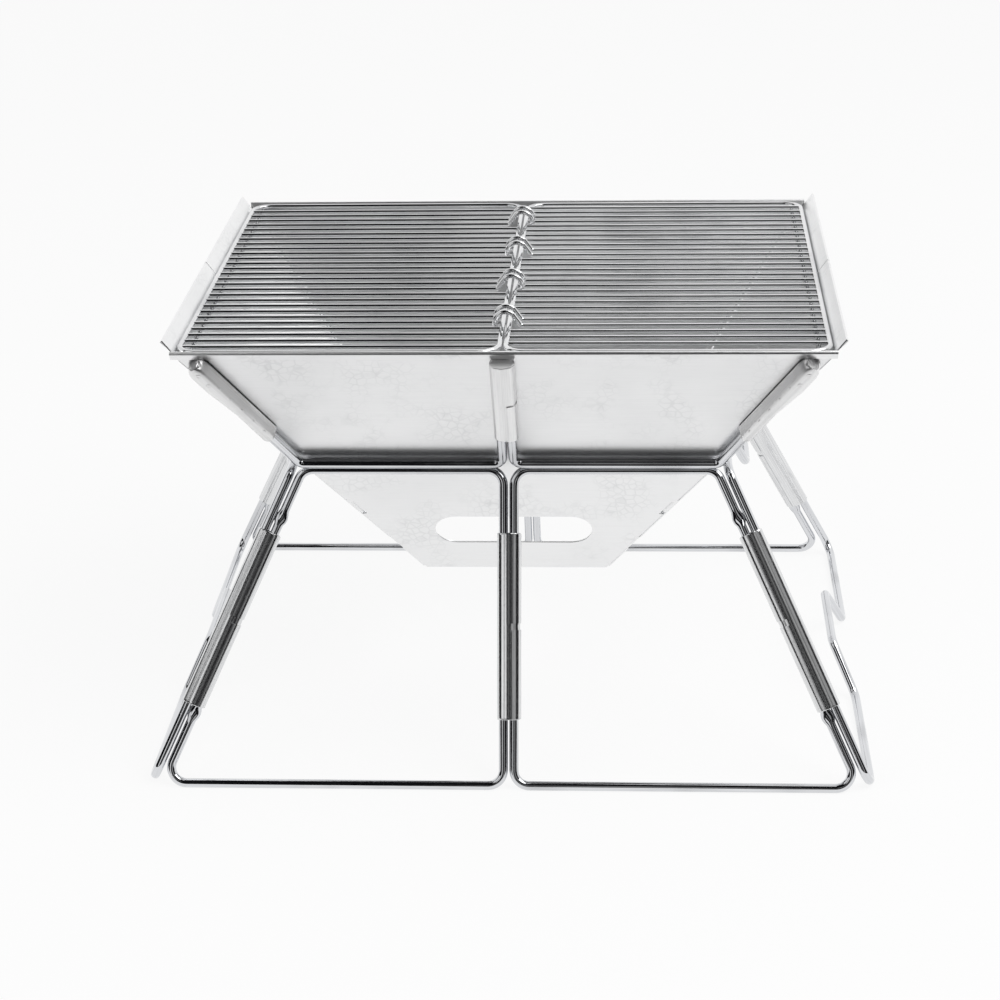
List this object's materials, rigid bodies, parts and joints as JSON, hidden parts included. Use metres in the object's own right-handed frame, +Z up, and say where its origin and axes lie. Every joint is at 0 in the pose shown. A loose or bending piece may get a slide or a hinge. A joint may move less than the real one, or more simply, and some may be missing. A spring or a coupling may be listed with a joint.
{
  "type": "folding grill",
  "caption": "Folding charcoal grill: a stand of wire loops paired in flat sleeves, a funnel firebox of sheet with hinged sides, and a net in halves hooked together.",
  "frame": {"origin": "on the floor under the middle of the stand", "axes": "+Z up, -Y towards the front, +X to the right as the front is looked at"},
  "size_m": [0.3764, 0.3064, 0.24],
  "materials": {
    "wire": "bright electropolished stainless wire",
    "net": "bright polished stainless wire",
    "sheet": "smooth satin stainless sheet with faint water marks",
    "sleeve": "rolled stainless strip with fine lengthwise scratches",
    "pin": "plain stainless rod"
  },
  "bodies": {
    "stand_left": {"stand_left_side_loop": "wire", "stand_front_left_corner_sleeve": "sleeve", "stand_rear_left_corner_sleeve": "sleeve"},
    "stand_front_left": {"stand_front_left_loop": "wire"},
    "stand_front_centre": {"stand_front_centre_sleeve": "sleeve"},
    "stand_front_right": {"stand_front_right_loop": "wire"},
    "stand_right": {"stand_right_side_loop": "wire", "stand_front_right_corner_sleeve": "sleeve", "stand_rear_right_corner_sleeve": "sleeve"},
    "stand_rear_left": {"stand_rear_left_loop": "wire"},
    "stand_rear_centre": {"stand_rear_centre_sleeve": "sleeve"},
    "stand_rear_right": {"stand_rear_right_loop": "wire"},
    "firebox_front": {"box_front_plate": "sheet", "box_front_left_loop": "wire", "box_front_right_loop": "wire", "box_front_left_corner_clip": "sleeve", "box_front_right_corner_clip": "sleeve", "box_front_centre_sleeve": "sleeve", "box_front_left_corner_pin": "pin", "box_front_right_corner_pin": "pin"},
    "firebox_left_front": {"box_left_front_half_plate": "sheet", "box_left_seam_pin": "pin"},
    "firebox_left_rear": {"box_left_rear_half_plate": "sheet"},
    "firebox_rear": {"box_rear_plate": "sheet", "box_rear_left_loop": "wire", "box_rear_right_loop": "wire", "box_rear_left_corner_clip": "sleeve", "box_rear_right_corner_clip": "sleeve", "box_rear_centre_sleeve": "sleeve", "box_rear_left_corner_pin": "pin", "box_rear_right_corner_pin": "pin"},
    "firebox_right_front": {"box_right_front_half_plate": "sheet", "box_right_seam_pin": "pin"},
    "firebox_right_rear": {"box_right_rear_half_plate": "sheet"},
    "net_left": {"net_left_half": "net"},
    "net_right": {"net_right_half": "net"}
  },
  "joints": [
    {"name": "stand_fold", "type": "hinge", "parent": "stand_left", "child": "stand_front_left", "pos_m": [-0.18008, -0.151, 0.00222], "axis": [0.4109, 0.3336, 0.8485], "range_deg": [0, 83.08]},
    {"name": "stand_front_left_leg_turn", "type": "hinge", "parent": "stand_front_left", "child": "stand_front_centre", "pos_m": [-0.0027, -0.151, 0.00222], "axis": [0, -0.3659, -0.9307], "range_deg": [0, 93.7]},
    {"name": "stand_front_right_leg_turn", "type": "hinge", "parent": "stand_front_centre", "child": "stand_front_right", "pos_m": [0.0027, -0.151, 0.00222], "axis": [0, -0.3659, -0.9307], "range_deg": [0, 65.5]},
    {"name": "stand_front_right_corner_turn", "type": "hinge", "parent": "stand_front_right", "child": "stand_right", "pos_m": [0.18008, -0.151, 0.00222], "axis": [-0.4109, 0.3336, 0.8485], "range_deg": [0, 95.7]},
    {"name": "stand_rear_left_corner_turn", "type": "hinge", "parent": "stand_left", "child": "stand_rear_left", "pos_m": [-0.18008, 0.151, 0.00222], "axis": [-0.4109, 0.3336, -0.8485], "range_deg": [0, 97.8]},
    {"name": "stand_rear_left_leg_turn", "type": "hinge", "parent": "stand_rear_left", "child": "stand_rear_centre", "pos_m": [-0.0027, 0.151, 0.00222], "axis": [0, -0.3659, 0.9307], "range_deg": [0, 88.3]},
    {"name": "stand_rear_right_leg_turn", "type": "hinge", "parent": "stand_rear_centre", "child": "stand_rear_right", "pos_m": [0.0027, 0.151, 0.00222], "axis": [0, -0.3659, 0.9307], "range_deg": [0, 75.3]},
    {"name": "firebox_lift", "type": "slide", "parent": "stand_left", "child": "firebox_front", "axis": [0, 0, 1], "range_m": [0, 0.2757]},
    {"name": "firebox_fold", "type": "hinge", "parent": "firebox_front", "child": "firebox_left_front", "pos_m": [-0.04938, -0.0398, 0.07779], "axis": [0.5292, 0.4296, -0.7317], "range_deg": [0, 103.3]},
    {"name": "firebox_left_seam_turn", "type": "hinge", "parent": "firebox_left_front", "child": "firebox_left_rear", "pos_m": [-0.05196, 0, 0.07522], "axis": [-0.586, 0, 0.8103], "range_deg": [0, 179.6]},
    {"name": "firebox_rear_left_corner_turn", "type": "hinge", "parent": "firebox_left_rear", "child": "firebox_rear", "pos_m": [-0.04938, 0.0398, 0.07779], "axis": [0.5292, -0.4296, -0.7317], "range_deg": [0, 103.4]},
    {"name": "firebox_front_right_corner_turn", "type": "hinge", "parent": "firebox_front", "child": "firebox_right_front", "pos_m": [0.04938, -0.0398, 0.07779], "axis": [0.5292, -0.4296, 0.7317], "range_deg": [0, 101.44]},
    {"name": "firebox_right_seam_turn", "type": "hinge", "parent": "firebox_right_front", "child": "firebox_right_rear", "pos_m": [0.05196, 0, 0.07522], "axis": [-0.586, 0, -0.8103], "range_deg": [0, 164.1]},
    {"name": "net_lift", "type": "slide", "parent": "firebox_front", "child": "net_left", "axis": [0, 0, 1], "range_m": [0, 0.361]},
    {"name": "net_fold", "type": "hinge", "parent": "net_left", "child": "net_right", "pos_m": [0, 0, 0.2332], "axis": [0, -1, 0], "range_deg": [0, 180]}
  ],
  "couplings": [
    {"joint": "stand_front_left_leg_turn", "follows": "firebox_lift", "rad_per_m": 5.9227},
    {"joint": "stand_front_right_leg_turn", "follows": "firebox_lift", "rad_per_m": 4.1356},
    {"joint": "stand_front_right_corner_turn", "follows": "firebox_lift", "rad_per_m": 6.0461},
    {"joint": "stand_rear_left_corner_turn", "follows": "firebox_lift", "rad_per_m": 6.1797},
    {"joint": "stand_rear_left_leg_turn", "follows": "firebox_lift", "rad_per_m": 5.5797},
    {"joint": "stand_rear_right_leg_turn", "follows": "firebox_lift", "rad_per_m": 4.757},
    {"joint": "stand_fold", "follows": "firebox_lift", "rad_per_m": 5.2576},
    {"joint": "firebox_left_seam_turn", "follows": "firebox_front_right_corner_turn", "ratio": 1.7691},
    {"joint": "firebox_rear_left_corner_turn", "follows": "firebox_front_right_corner_turn", "ratio": 1.0184},
    {"joint": "firebox_fold", "follows": "firebox_front_right_corner_turn", "ratio": 1.0182},
    {"joint": "firebox_right_seam_turn", "follows": "firebox_front_right_corner_turn", "ratio": 1.6169},
    {"joint": "net_lift", "follows": "firebox_front_right_corner_turn", "m_per_rad": 0.20365}
  ]
}
